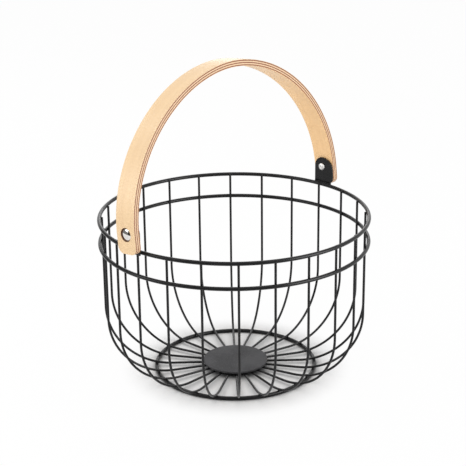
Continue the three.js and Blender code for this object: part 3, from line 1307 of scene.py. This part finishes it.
@dataclass
class HandlePivot:
    """What carries one leg of the handle: bracket, pan-head screw, domed nut and washer."""

    side: Side
    height: float = 188.2
    height_above_rim: float = 19.0
    rim_radius: float = 138.2
    ring_wire: float = 4.0
    bracket_inner: float = 140.5
    bracket_outer: float = 142.5
    bracket_short_side: float = 10.0
    bracket_long_side: float = 14.2
    bracket_bottom: float = -21.0
    bracket_notch_width: float = 2.7
    bracket_notch_height: float = 7.0
    bracket_edge: float = 0.35
    bracket_sharp_turn: float = 60.0
    short_crown_steps: int = 14
    long_crown_steps: int = 18
    long_side_steps: int = 3
    notch_steps: int = 2
    foot_steps: int = 7
    short_side_steps: int = 7
    weld_count: int = 15
    weld_step: float = 0.56
    weld_middle: float = -0.33
    weld_above_rim: float = 1.1
    weld_bead: tuple[float, float, float] = (0.8, 1.15, 1.15)
    weld_unevenness: float = 0.12
    right_weld_seed: int = 53
    left_weld_seed: int = 61
    hole_diameter: float = 4.4
    washer_inner: float = 142.8
    washer_outer: float = 143.3
    washer_diameter: float = 12.0
    washer_hole: float = 6.6
    washer_edge: float = 0.12
    cap_seat: float = 147.6
    cap_diameter: float = 12.5
    cap_edge: float = 0.7
    cap_dome: float = 1.9
    cap_round: float = 0.25
    dome_steps: int = 14
    barrel_diameter: float = 6.0
    bore_clearance: float = 0.3
    screw_seat: float = 140.2
    screw_head_diameter: float = 7.6
    screw_head_height: float = 1.9
    screw_flat_share: float = 0.35
    screw_dome_share: float = 0.78
    screw_head_steps: int = 10
    screw_edge_drop: float = 0.08
    screw_edge_inset: float = 0.1
    screw_shank_diameter: float = 3.8
    screw_chamfer: float = 0.4
    recess_width: float = 0.8
    recess_reach: float = 1.45
    recess_depth: float = 0.8
    recess_overshoot: float = 0.4
    recess_flare: float = 1.12
    recess_taper: float = 0.55
    recess_turn: float = 20.0
    steps: int = 64

    def build(self, finishes: Finishes) -> None:
        """Make and dress the pieces of this side.

        Args:
            finishes: The object's materials.
        """
        coat, chrome, plastic = finishes.black_coat, finishes.chrome, finishes.washer_plastic
        rows = (
            ("bracket", "plate", self.bracket_shape(), coat, Slot.BLACK_COAT),
            ("pivot_cap_nut", "dome", self.cap_nut_shape(), chrome, Slot.POLISHED_STEEL),
            ("pivot_washer", "ring", self.washer_shape(), plastic, Slot.WASHER_PLASTIC),
        )
        for name, form, shape, material, slot in rows:
            node = f"{name}_{self.side.label}"
            piece = self.placed(f"{node}_{form}", shape, material)
            weigh_normals(piece)
            attach(piece, Body.BASKET, [node])
        self.make_screw(finishes.screw_steel)
        self.bracket_weld().build(coat)

    def placed(self, name: str, shape: Shape, material: Material) -> Piece:
        """Put a shape that is drawn around the hinge axis on this side, at its height.

        Args:
            name: The piece's name.
            shape: The right side's shape in metres, with the hinge axis at height 0.
            material: Its finish.

        Returns:
            The piece.
        """
        lift = Matrix.Translation((0.0, 0.0, self.height * MM))
        place = lift @ Matrix.Rotation(self.side.angle, 4, "Z")
        bmesh.ops.transform(shape, matrix=place, verts=shape.verts)
        return mesh_piece(name, shape, material)

    @staticmethod
    def upright(shape: Shape, x: float, points: Iterable[Pair]) -> Loop:
        """Vertices at points (across, up) of a plane across the hinge axis, in millimetres."""
        return [shape.verts.new((x * MM, y * MM, z * MM)) for y, z in points]

    def bracket_outline(self) -> list[Pair]:
        """The bracket's outline around its hole, as (across, up).

        A short side is rounded about the hole and a longer one is rounded about a lower point. The
        foot is notched under the long side.

        Returns:
            The outline's points.
        """
        short, long, bottom = self.bracket_short_side, self.bracket_long_side, self.bracket_bottom
        notch, notch_top = self.bracket_notch_width, bottom + self.bracket_notch_height
        shoulder, step = short - long, (notch - long, notch_top - notch)
        heel, toe = (notch - long, bottom), (short, bottom)
        return [
            *arc((0.0, 0.0), short, 0, 90, self.short_crown_steps),
            *arc((0.0, shoulder), long, 90, 180, self.long_crown_steps)[1:],
            *line((-long, shoulder), (-long, notch_top), self.long_side_steps),
            step,
            *line(step, heel, self.notch_steps),
            *line(heel, toe, self.foot_steps),
            *line(toe, (short, 0.0), self.short_side_steps)[:-1],
        ]

    def bracket_shape(self) -> Shape:
        """A plate with a round hole and softened edges.

        Returns:
            The shape of the right side.
        """
        shape = bmesh.new()
        outline = self.bracket_outline()
        radius = self.hole_diameter / 2
        directions = [math.atan2(z, y) for y, z in outline]
        hole = [(radius * math.cos(a), radius * math.sin(a)) for a in directions]
        plates = []
        for x in (self.bracket_inner, self.bracket_outer):
            plates.append([self.upright(shape, x, points) for points in (outline, hole)])
            bridge(shape, *plates[-1])
        for inner, outer in zip(*plates):
            bridge(shape, inner, outer)
        bmesh.ops.recalc_face_normals(shape, faces=shape.faces)
        sharp = [
            edge for edge in shape.edges
            if len({v.co.x for v in edge.verts}) == 1
            and edge.calc_face_angle(0.0) > math.radians(self.bracket_sharp_turn)
        ]
        round_edges(shape, sharp, self.bracket_edge * MM)
        return shape

    def cap_nut_shape(self) -> Shape:
        """A domed head with a barrel under it, which is bored for the screw.

        Returns:
            The shape of the right side.
        """
        head, barrel, bore = self.cap_diameter / 2, self.barrel_diameter / 2, self.hole_diameter / 2
        seat, foot, soft = self.cap_seat, self.washer_inner, self.cap_round
        bore_end, edge = seat + self.bore_clearance, seat + self.cap_edge
        outline = [
            (bore_end, 0.0),
            (bore_end, bore),
            (foot, bore),
            (foot, barrel - soft),
            (foot + soft, barrel),
            (seat, barrel),
            (seat, head - soft),
            *arc((seat + soft, head - soft), soft, 180, 90, ROUNDING_STEPS)[1:],
        ]
        for away, along in arc((0.0, 0.0), 1.0, 0, 90, self.dome_steps)[:-1]:
            outline.append((edge + self.cap_dome * along, head * away))
        outline.append((edge + self.cap_dome, 0.0))
        return turned(outline, Axis.X, self.steps)

    def washer_shape(self) -> Shape:
        """A thin flat ring with softened edges.

        Returns:
            The shape of the right side.
        """
        inner, outer, soft = self.washer_hole / 2, self.washer_diameter / 2, self.washer_edge
        low, high = self.washer_inner, self.washer_outer
        outline = [
            (low, inner + soft), (low, outer - soft), (low + soft, outer), (high - soft, outer),
            (high, outer - soft), (high, inner + soft), (high - soft, inner), (low + soft, inner),
        ]
        return turned(outline, Axis.X, self.steps)

    def make_screw(self, steel: Material) -> None:
        """Make the pan-head screw and cut the cross for the driver into its head.

        Args:
            steel: Its finish.
        """
        node = f"pivot_screw_{self.side.label}"
        piece = self.placed(f"{node}_pan_head", self.screw_shape(), steel)
        cutter = self.placed(f"driver_{self.side.label}", self.driver_shape(), steel)
        cut = piece.modifiers.new("driver_cross", "BOOLEAN")
        cut.operation = "DIFFERENCE"
        cut.solver = "EXACT"
        cut.object = cutter
        mesh = evaluated_mesh(piece)
        piece.modifiers.clear()
        piece.data = mesh
        bpy.data.objects.remove(cutter)
        weigh_normals(piece)
        attach(piece, Body.BASKET, [node])

    def screw_shape(self) -> Shape:
        """A low domed head with a shank, turned around the hinge axis.

        Returns:
            The shape of the right side.
        """
        head, shank = self.screw_head_diameter / 2, self.screw_shank_diameter / 2
        seat, face = self.screw_seat, self.screw_seat - self.screw_head_height
        flat, dome = self.screw_flat_share, self.screw_head_height * self.screw_dome_share
        end, chamfer = self.cap_seat - self.bore_clearance, self.screw_chamfer
        outline = [(face, 0.0), (face, head * flat)]
        for along, away in arc((0.0, 0.0), 1.0, 0, 90, self.screw_head_steps)[1:]:
            outline.append((face + dome * (1 - along), head * (flat + (1 - flat) * away)))
        outline += [
            (seat - self.screw_edge_drop, head),
            (seat, head - self.screw_edge_inset),
            (seat, shank),
            (end - chamfer, shank),
            (end, shank - chamfer),
            (end, 0.0),
        ]
        return turned(outline, Axis.X, self.steps)

    def driver_shape(self) -> Shape:
        """A tapered cross as long as the recess is deep.

        Returns:
            The shape of the right side.
        """
        shape = bmesh.new()
        reach, half = self.recess_reach, self.recess_width / 2
        outline = [
            (y * math.cos(a) - z * math.sin(a), y * math.sin(a) + z * math.cos(a))
            for a in (i * math.pi / 2 for i in range(4))
            for y, z in ((reach, -half), (reach, half), (half, half))
        ]
        face = self.screw_seat - self.screw_head_height
        levels = (
            (face - self.recess_overshoot, self.recess_flare),
            (face + self.recess_depth, self.recess_taper),
        )
        loops = [
            self.upright(shape, x, [(y * size, z * size) for y, z in outline]) for x, size in levels
        ]
        bridge(shape, *loops)
        for loop in loops:
            shape.faces.new(loop)
        turn = Matrix.Rotation(math.radians(self.recess_turn), 4, "X")
        bmesh.ops.transform(shape, matrix=turn, verts=shape.verts)
        bmesh.ops.recalc_face_normals(shape, faces=shape.faces)
        return shape

    def bracket_weld(self) -> WeldRow:
        """The run of weld that joins the bracket's foot to the rim.

        Returns:
            The row of beads.
        """
        step = math.radians(self.weld_step)
        middle = math.radians(self.weld_middle) + self.side.angle
        return WeldRow(
            f"bracket_weld_{self.side.label}",
            (self.rim_radius + self.ring_wire / 2 + self.bracket_inner) / 2,
            self.height - self.height_above_rim + self.weld_above_rim,
            self.weld_bead,
            self.right_weld_seed if self.side is Side.RIGHT else self.left_weld_seed,
            self.weld_count,
            step,
            middle - step * (self.weld_count - 1) / 2,
            self.weld_unevenness,
        )


@dataclass
class PlyHandle:
    """The bent plywood strip. It is drawn flat, as (along, across, depth), and then bent."""

    width: float = 25.0
    thickness: float = 6.5
    inner_half_span: float = 143.6
    rise: float = 141.0
    foot: float = 19.3
    foot_radius: float = 7.5
    arch_exponent: float = 1.93
    lean: float = 6.0
    pivot_height: float = 188.2
    recess_diameter: float = 13.6
    recess_depth: float = 2.8
    bore_diameter: float = 6.6
    edge_round: float = 0.45
    recess_round: float = 0.2
    depth_slack: float = 0.01
    patch: float = 9.0
    patch_steps: int = 12
    corner_steps: int = 8
    arch_rows: int = 150
    table_steps: int = 1600

    def build(self, finishes: Finishes) -> None:
        """Make, bend and dress the strip.

        Args:
            finishes: The object's materials.
        """
        route = self.middle_route()
        length = route[-1][0]
        shape = self.flat_strip(length)
        flat = [vertex.co.copy() for vertex in shape.verts]
        for vertex in shape.verts:
            vertex.co = self.bent(route, vertex.co)
        bmesh.ops.recalc_face_normals(shape, faces=shape.faces)
        piece = mesh_piece("handle_bow_strip", shape, finishes.plywood)
        strip = piece.data.attributes.new(STRIP_ATTRIBUTE, "FLOAT_VECTOR", "POINT")
        strip.data.foreach_set("vector", [channel * MM for co in flat for channel in co])
        # Painted shade: a share, 1 in the recesses, that darkens them in the material.
        scorch = piece.data.attributes.new(PAINTED_RECESS_SHADE_ATTRIBUTE, "FLOAT", "POINT")
        scorch.data.foreach_set("value", [self.painted_recess_shade_share(co, length) for co in flat])
        weigh_normals(piece)
        attach(piece, Body.HANDLE, ["handle_bow"])

    def painted_recess_shade_share(self, flat: Vector, length: float) -> float:
        """How much painted shade darkens a point of the flat strip.

        Args:
            flat: The point as (along, across, depth) in millimetres.
            length: The strip's length.

        Returns:
            1 in the recesses, 0 on the faces.
        """
        floor = self.thickness - self.recess_depth
        if flat.z < floor - self.depth_slack:
            return 0.0
        along = min(flat.x, length - flat.x) - self.foot
        from_rim = self.recess_diameter / 2 + self.recess_round - math.hypot(along, flat.y)
        return min(max(from_rim / self.recess_round, 0.0), 1.0)

    def arch_point(self, turn: float, outward: float) -> Vector:
        """A point of the arch in the X-Z plane around the pivot.

        Args:
            turn: 0 at the right pivot, pi at the left one.
            outward: 0 on the inner face, 1 on the outer one.

        Returns:
            The point as (x, z) in millimetres.
        """
        power = 2 / self.arch_exponent
        span = self.inner_half_span + self.thickness * outward
        rise = self.rise - self.thickness * (1 - outward)
        across = math.copysign(abs(math.cos(turn)) ** power, math.cos(turn))
        return Vector((span * across, rise * max(math.sin(turn), 0.0) ** power))

    def middle_route(self) -> list[Pair]:
        """Measure the strip along its middle.

        Returns:
            The strip's length up to each step of the arch, as (length, turn).
        """
        done, before = self.foot, self.arch_point(0.0, 0.5)
        route = [(0.0, 0.0), (done, 0.0)]
        for i in range(1, self.table_steps + 1):
            turn = math.pi * i / self.table_steps
            point = self.arch_point(turn, 0.5)
            done += (point - before).length
            before = point
            route.append((done, turn))
        route.append((done + self.foot, math.pi))
        return route

    def bent(self, route: list[Pair], flat: Vector) -> Vector:
        """Bend one point of the flat strip.

        Args:
            route: The strip's length up to each step of the arch.
            flat: The point as (along, across, depth) in millimetres.

        Returns:
            The point's place on the object, in metres.
        """
        along, across, depth = flat
        outward = depth / self.thickness
        arch_length = route[-1][0] - 2 * self.foot
        share = (along - self.foot) / arch_length
        if share <= 0.0:
            point = self.arch_point(0.0, outward) + Vector((0.0, along - self.foot))
        elif share >= 1.0:
            past = along - self.foot - arch_length
            point = self.arch_point(math.pi, outward) - Vector((0.0, past))
        else:
            low, high = 1, len(route) - 2
            while high - low > 1:
                middle = (low + high) // 2
                low, high = (middle, high) if route[middle][0] <= along else (low, middle)
            part = (along - route[low][0]) / (route[high][0] - route[low][0])
            turn = route[low][1] + part * (route[high][1] - route[low][1])
            point = self.arch_point(turn, outward)
        lean = Matrix.Rotation(-math.radians(self.lean), 3, "X")
        leaning = lean @ Vector((point.x, across, point.y))
        return (leaning + Vector((0.0, 0.0, self.pivot_height))) * MM

    def rows(self, length: float) -> list[Pair]:
        """The strip's rows from the right foot to the left one.

        Args:
            length: The strip's length.

        Returns:
            Each row as (along, half width).
        """
        half, radius = self.width / 2, self.foot_radius
        corner = [
            (radius * (1 - math.cos(a)), half - radius + radius * math.sin(a))
            for a in (math.pi / 2 * i / self.corner_steps for i in range(self.corner_steps + 1))
        ]
        step = 2 * self.patch / self.patch_steps
        around = [(self.foot - self.patch + step * i, half) for i in range(self.patch_steps + 1)]
        start, end, steps = around[-1][0], length - around[-1][0], self.arch_rows
        arch = [(start + (end - start) * i / steps, half) for i in range(1, steps)]
        right = corner + around
        return right + arch + [(length - along, width) for along, width in reversed(right)]

    def columns(self) -> list[float]:
        """The strip's columns as shares of the half width.

        Returns:
            The shares, from one edge to the other.
        """
        half, patch, steps = self.width / 2, self.patch, self.patch_steps
        inner = [-patch + 2 * patch * i / steps for i in range(steps + 1)]
        return [-1.0, *(v / half for v in inner), 1.0]

    def flat_strip(self, length: float) -> Shape:
        """The flat strip with both pivot holes and softened edges, in millimetres.

        Args:
            length: The strip's length.

        Returns:
            The closed shape.
        """
        shape = bmesh.new()
        rows, columns = self.rows(length), self.columns()
        first = self.corner_steps + 1
        patches = (first, len(rows) - first - self.patch_steps - 1)
        grids: dict[float, list[Loop]] = {}
        for depth in (0.0, self.thickness):
            grid = [[shape.verts.new((s, half * c, depth)) for c in columns] for s, half in rows]
            grids[depth] = grid
            for i in range(len(rows) - 1):
                in_patch = any(p <= i < p + self.patch_steps for p in patches)
                for j in range(len(columns) - 1):
                    if not (in_patch and 1 <= j <= self.patch_steps):
                        near, far = grid[i], grid[i + 1]
                        shape.faces.new((near[j], far[j], far[j + 1], near[j + 1]))
        outlines = {depth: self.outline(grid) for depth, grid in grids.items()}
        bridge(shape, outlines[0.0], outlines[self.thickness])
        rims = [rim for row in patches for rim in self.pivot_hole(shape, grids, row)]
        unused = [
            vertex
            for row in patches
            for grid in grids.values()
            for across in grid[row + 1:row + self.patch_steps]
            for vertex in across[2:-2]
        ]
        for vertex in unused:
            shape.verts.remove(vertex)
        bmesh.ops.recalc_face_normals(shape, faces=shape.faces)
        self.soften(shape, rims, self.recess_round)
        self.soften(shape, list(outlines.values()), self.edge_round)
        return shape

    @staticmethod
    def outline(grid: list[Loop]) -> Loop:
        """The outer loop of a grid of vertices.

        Args:
            grid: The rows of the grid.

        Returns:
            The vertices, once around.
        """
        right = [row[-1] for row in grid]
        left = [row[0] for row in reversed(grid)]
        return grid[0][:-1] + right[:-1] + list(reversed(grid[-1]))[:-1] + left[:-1]

    def pivot_hole(
        self, shape: Shape, grids: dict[float, list[Loop]], first_row: int
    ) -> list[Loop]:
        """Fit a recess outside and a bore through the strip into one square patch.

        Args:
            shape: The strip.
            grids: The vertices of both faces, by depth.
            first_row: The patch's first row.

        Returns:
            The loops whose edges are softened: the recess's rim and the bore's inner rim.
        """
        rows = slice(first_row, first_row + self.patch_steps + 1)
        inner, outer = (
            self.outline([across[1:-1] for across in grids[depth][rows]])
            for depth in (0.0, self.thickness)
        )
        floor = self.thickness - self.recess_depth
        wide, narrow = self.recess_diameter / 2, self.bore_diameter / 2
        recess_rim = self.circle(shape, outer, wide, self.thickness)
        recess_floor = self.circle(shape, outer, wide, floor)
        bore_top = self.circle(shape, outer, narrow, floor)
        bore_bottom = self.circle(shape, inner, narrow, 0.0)
        between = self.circle(shape, inner, (narrow + self.patch) / 2, 0.0)
        chain = (outer, recess_rim, recess_floor, bore_top, bore_bottom, between, inner)
        for first, second in zip(chain, chain[1:]):
            bridge(shape, first, second)
        return [recess_rim, bore_bottom]

    @staticmethod
    def circle(shape: Shape, square: Loop, radius: float, depth: float) -> Loop:
        """A circle with one vertex for each vertex of the square around it, evenly spread.

        Args:
            shape: The strip.
            square: The square loop around the circle.
            radius: The circle's radius.
            depth: Its depth in the strip.

        Returns:
            The circle's vertices, in the square's order.
        """
        centre = sum((v.co for v in square), Vector()) / len(square)
        start, after = square[0].co - centre, square[1].co - centre
        first = math.atan2(start.y, start.x)
        sense = math.copysign(1.0, start.x * after.y - start.y * after.x)
        angles = (first + sense * FULL_CIRCLE * i / len(square) for i in range(len(square)))
        around = [(radius * math.cos(a), radius * math.sin(a)) for a in angles]
        return [shape.verts.new((centre.x + x, centre.y + y, depth)) for x, y in around]

    @staticmethod
    def soften(shape: Shape, loops: list[Loop], size: float) -> None:
        """Round the edges along some closed loops.

        Args:
            shape: The strip.
            loops: The loops of vertices.
            size: How far off the edge the rounding starts.
        """
        pairs = [pair for loop in loops for pair in zip(loop, loop[1:] + loop[:1])]
        edges = {shape.edges.get(pair) for pair in pairs} - {None}
        ordered = sorted(edges, key=lambda edge: sorted(tuple(v.co) for v in edge.verts))
        round_edges(shape, ordered, size)


# Studio


def towards(azimuth: float, elevation: float) -> Vector:
    """Give the direction at an azimuth and an elevation in degrees.

    Args:
        azimuth: Angle from +X towards +Y.
        elevation: Angle above the floor.

    Returns:
        A direction of length 1.
    """
    turn, rise = math.radians(azimuth), math.radians(elevation)
    level = math.cos(rise)
    return Vector((level * math.cos(turn), level * math.sin(turn), math.sin(rise)))


@dataclass(frozen=True)
class SoftBox:
    """A square lamp that points at the object."""

    name: str
    azimuth: float
    elevation: float
    distance: float
    side: float
    level: float

    def build(self, target: Vector) -> None:
        """Hang the lamp, with the power that gives its level on a white face at the target.

        Args:
            target: What the lamp points at.
        """
        away = towards(self.azimuth, self.elevation)
        data = bpy.data.lights.new(self.name, "AREA")
        data.shape = "SQUARE"
        data.size = self.side
        data.energy = self.level * (math.pi * self.distance) ** 2
        lamp = new_object(self.name, data)
        lamp.location = target + away * self.distance
        lamp.rotation_mode = "QUATERNION"
        lamp.rotation_quaternion = away.to_track_quat("Z", "Y")


@dataclass(frozen=True)
class Flag:
    """A dark or bright curved sheet that only reflections see, so that gloss has contrast."""

    name: str
    first_azimuth: float
    last_azimuth: float
    tone: float
    bottom: float = 0.002
    top: float = 1.2
    distance: float = 0.75
    steps: int = 16

    def build(self) -> None:
        """Stand the sheet around the object."""
        shape = bmesh.new()
        row = arc((0.0, 0.0), self.distance, self.first_azimuth, self.last_azimuth, self.steps)
        low, high = ([shape.verts.new((*p, z)) for p in row] for z in (self.bottom, self.top))
        for i in range(self.steps):
            shape.faces.new((low[i], low[i + 1], high[i + 1], high[i]))
        material = bpy.data.materials.new(self.name)
        sketch = open_shader(material)
        glow = {"Color": (self.tone, self.tone, self.tone, 1.0), "Strength": 1.0}
        shade = sketch.out("ShaderNodeEmission", glow)
        sketch.add("ShaderNodeOutputMaterial", {"Surface": shade})
        sheet = mesh_piece(self.name, shape, material)
        sheet.visible_camera = sheet.visible_diffuse = False
        sheet.visible_transmission = sheet.visible_shadow = False


@dataclass
class Studio:
    """The floor, the surroundings, the lamps, the flags and the camera, in metres."""

    floor_radius: float = 4.0
    floor_sides: int = 96
    floor_colour: Colour = linear(244, 244, 244)
    floor_mottle: float = 0.985
    floor_grains_per_metre: float = 900.0
    shade_azimuth: float = 43.4
    shade_elevation: float = 30.0
    shade_reach: float = 0.055
    shade_power: float = 0.7
    shade_samples: int = 16
    shaded_radius: float = 0.085
    plain_radius: float = 0.126
    plain_share: float = 0.94
    ambient: float = 0.74
    target: tuple[float, float, float] = (0.0, 0.0, 0.12)
    camera_place: tuple[float, float, float] = (-0.9921, -0.9381, 0.6492)
    camera_heading: float = 43.449
    camera_pitch: float = 20.107
    camera_roll: float = -0.619
    camera_range: Pair = (0.01, 50.0)
    focal_pixels: float = 1409.14
    sensor: float = 36.0
    soft_boxes: tuple[SoftBox, ...] = (
        SoftBox("key_left", 150.0, 28.0, distance=1.7, side=0.9, level=0.28),
        SoftBox("fill_right", 285.0, 30.0, distance=1.7, side=0.8, level=0.18),
        SoftBox("top", 30.0, 72.0, distance=1.6, side=0.5, level=0.07),
        SoftBox("rim_left", 98.0, 32.0, distance=1.7, side=0.4, level=0.14),
    )
    flags: tuple[Flag, ...] = (
        Flag("flag_left", 88.0, 162.0, tone=0.22),
        Flag("flag_front", 162.0, 264.0, tone=0.02, top=0.5),
        Flag("card_left", 138.0, 164.0, tone=3.5, bottom=0.21, top=0.56, distance=0.72),
        Flag("card_right", 266.0, 298.0, tone=8.0, bottom=0.12, top=0.44, distance=0.72),
        Flag("card_back", 22.0, 65.0, tone=3.0, bottom=0.3, top=0.45, distance=0.72),
    )

    def build(self) -> None:
        """Make the whole studio."""
        self.make_floor()
        self.make_world()
        for box in self.soft_boxes:
            box.build(Vector(self.target))
        for flag in self.flags:
            flag.build()
        self.make_camera()
        bpy.context.scene.view_settings.view_transform = "Standard"

    @staticmethod
    def seen_directly(sketch: Sketch) -> Socket:
        """1 for what the camera sees, also through a mirror or glass.

        Args:
            sketch: The tree that asks.

        Returns:
            1 or 0.
        """
        path = sketch.add("ShaderNodeLightPath").outputs
        rays = sketch.math("ADD", path["Is Camera Ray"], path["Is Glossy Ray"])
        return sketch.math("ADD", rays, path["Is Transmission Ray"], clamp=True)

    def make_floor(self) -> None:
        """Make a pale floor that keeps the shadow and fades into the white surroundings."""
        shape = bmesh.new()
        sides, radius = self.floor_sides, self.floor_radius
        bmesh.ops.create_circle(shape, cap_ends=True, segments=sides, radius=radius)
        material = bpy.data.materials.new("studio_floor")
        sketch = open_shader(material)
        place = sketch.object_place()
        grain = sketch.noise(place, self.floor_grains_per_metre)
        mottled = darker(self.floor_colour, self.floor_mottle)
        colour = sketch.mix_colour(grain, self.floor_colour, mottled)
        matt = sketch.out("ShaderNodeBsdfDiffuse", {"Color": colour})
        plain = sketch.out("ShaderNodeEmission", {"Color": WHITE, "Strength": 1.0})
        length = sketch.add("ShaderNodeVectorMath", {0: place}, operation="LENGTH")
        away = length.outputs["Value"]
        fade = sketch.ramp(away, self.shaded_radius, self.plain_radius, 0.0, self.plain_share)
        # Painted shade: the floor's colour is darkened by occlusion sampled towards the back, which
        # stands for soft light from behind.
        shade_from = towards(self.shade_azimuth, self.shade_elevation)
        soft = {"Distance": self.shade_reach, "Normal": shade_from}
        near = sketch.add("ShaderNodeAmbientOcclusion", soft, samples=self.shade_samples)
        opened = sketch.math("POWER", near.outputs["AO"], self.shade_power)
        shaded_colour = sketch.mix_colour(opened, BLACK, colour)
        shaded = sketch.out("ShaderNodeBsdfDiffuse", {"Color": shaded_colour})
        seen = sketch.out("ShaderNodeMixShader", {0: fade, 1: shaded, 2: plain})
        direct = self.seen_directly(sketch)
        mixed = sketch.out("ShaderNodeMixShader", {0: direct, 1: matt, 2: seen})
        sketch.add("ShaderNodeOutputMaterial", {"Surface": mixed})
        mesh_piece("studio_floor", shape, material)

    def make_world(self) -> None:
        """Surround the object with even light, which looks white to the camera."""
        world = bpy.data.worlds.new("studio_surroundings")
        sketch = open_shader(world)
        even, white = (
            sketch.out("ShaderNodeBackground", {"Color": WHITE, "Strength": strength})
            for strength in (self.ambient, 1.0)
        )
        direct = self.seen_directly(sketch)
        mixed = sketch.out("ShaderNodeMixShader", {0: direct, 1: even, 2: white})
        sketch.add("ShaderNodeOutputWorld", {"Surface": mixed})
        bpy.context.scene.world = world

    def make_camera(self) -> None:
        """Stand the camera where the photograph was taken from."""
        heading, roll = math.radians(self.camera_heading), math.radians(self.camera_roll)
        forward = towards(self.camera_heading, -self.camera_pitch)
        level_right = Vector((math.sin(heading), -math.cos(heading), 0.0))
        level_up = level_right.cross(forward)
        right = level_right * math.cos(roll) + level_up * math.sin(roll)
        up = level_up * math.cos(roll) - level_right * math.sin(roll)
        data = bpy.data.cameras.new("photo_camera")
        data.sensor_width = self.sensor
        data.lens = self.focal_pixels * self.sensor / IMAGE_SIDE
        data.clip_start, data.clip_end = self.camera_range
        camera = new_object("photo_camera", data)
        turn = Matrix((right, up, -forward)).transposed().to_4x4()
        camera.matrix_world = Matrix.Translation(Vector(self.camera_place)) @ turn
        bpy.context.scene.camera = camera


def make_finishes() -> Finishes:
    """Build every material of the object.

    Returns:
        The finished materials.
    """
    black_coat = PowderCoat(
        "black_powder_coat",
        colour=linear(18, 18, 19),
        speck_colour=linear(34, 34, 36),
        grains_per_metre=2600.0,
        speck_share=0.12,
        roughness=0.3,
        gloss=0.27,
        grain_depth=0.03,
    )
    grey_coat = PowderCoat(
        "grey_powder_coat",
        colour=linear(57, 57, 59),
        speck_colour=linear(97, 97, 99),
        grains_per_metre=1100.0,
        speck_share=0.4,
        roughness=0.74,
        gloss=0.22,
        grain_depth=0.05,
    )
    plywood = BentPlywood(
        "bent_plywood",
        outer_veneer=linear(238, 205, 160),
        # painted light: lighter and warmer than the outer face, for the inner face's shade
        inner_veneer_painted_light=linear(253, 210, 155),
        light_ply=linear(250, 215, 173),
        dark_ply=linear(140, 60, 22),
        glue=linear(112, 56, 28),
        # painted shade for the recesses
        scorch=linear(96, 56, 32),
        face_ply=0.42,
        dark_layer=0.92,
        light_layer=1.38,
        thickness=6.5,
    )
    chrome = BrightMetal(
        "chrome_plate",
        colour=linear(232, 229, 224),
        roughness=0.04,
        smear_roughness=0.1,
        grain_depth=0.002,
    )
    screw_steel = BrightMetal(
        "bright_screw_steel",
        colour=linear(243, 242, 240),
        roughness=0.5,
        smear_roughness=0.56,
        grain_depth=0.006,
    )
    washer_plastic = MouldedPlastic(
        "washer_plastic", colour=linear(226, 223, 215), roughness=0.5
    )
    effects = Effects(CoatGrain(), VeneerGrain(), Handling())
    looks = (black_coat, grey_coat, plywood, chrome, screw_steel, washer_plastic)
    return Finishes(*(look.material(effects) for look in looks))


def main() -> None:
    """Build the object's pieces around the frame, then the studio."""
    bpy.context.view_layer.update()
    finishes = make_finishes()
    WireFrame().build(finishes)
    CentreDisc().build(finishes)
    for side in Side:
        HandlePivot(side).build(finishes)
    PlyHandle().build(finishes)
    Studio().build()


if __name__ == "__main__":
    logging.basicConfig(level=logging.INFO, format="%(name)s %(message)s")
    main()
